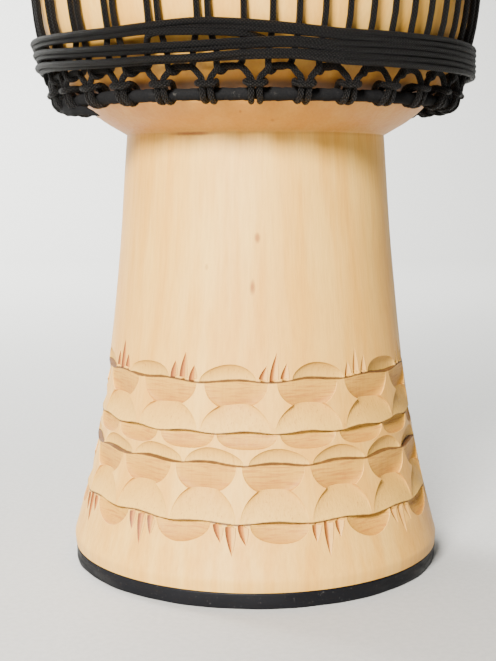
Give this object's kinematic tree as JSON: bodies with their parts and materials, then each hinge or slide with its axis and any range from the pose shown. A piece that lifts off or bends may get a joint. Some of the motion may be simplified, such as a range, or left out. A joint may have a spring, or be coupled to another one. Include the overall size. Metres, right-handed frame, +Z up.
{
  "type": "rope-tuned goblet drum",
  "caption": "Goblet drum: hollow carved wooden shell with a chip-carved band on the stem, goatskin head, wrapped rings and rope lacing.",
  "frame": {"origin": "on the floor at the centre of the drum's foot", "axes": "+Z up along the drum's axis; -Y towards the front of the carving"},
  "size_m": [0.3496, 0.3501, 0.6],
  "materials": {
    "pale_wood": "pale carved hardwood with a satin varnish",
    "rubber": "matt black rubber strip",
    "goatskin": "dry shaved rawhide",
    "black_cloth": "black cotton strip wound tightly",
    "black_rope": "black braided rope"
  },
  "bodies": {
    "root": {"shell": "pale_wood", "foot_strip": "rubber", "head_skin": "goatskin", "crown_ring": "black_cloth", "bottom_ring": "black_cloth", "crown_loops": "black_rope", "bottom_loops": "black_rope", "tension_rope": "black_rope"}
  },
  "joints": []
}
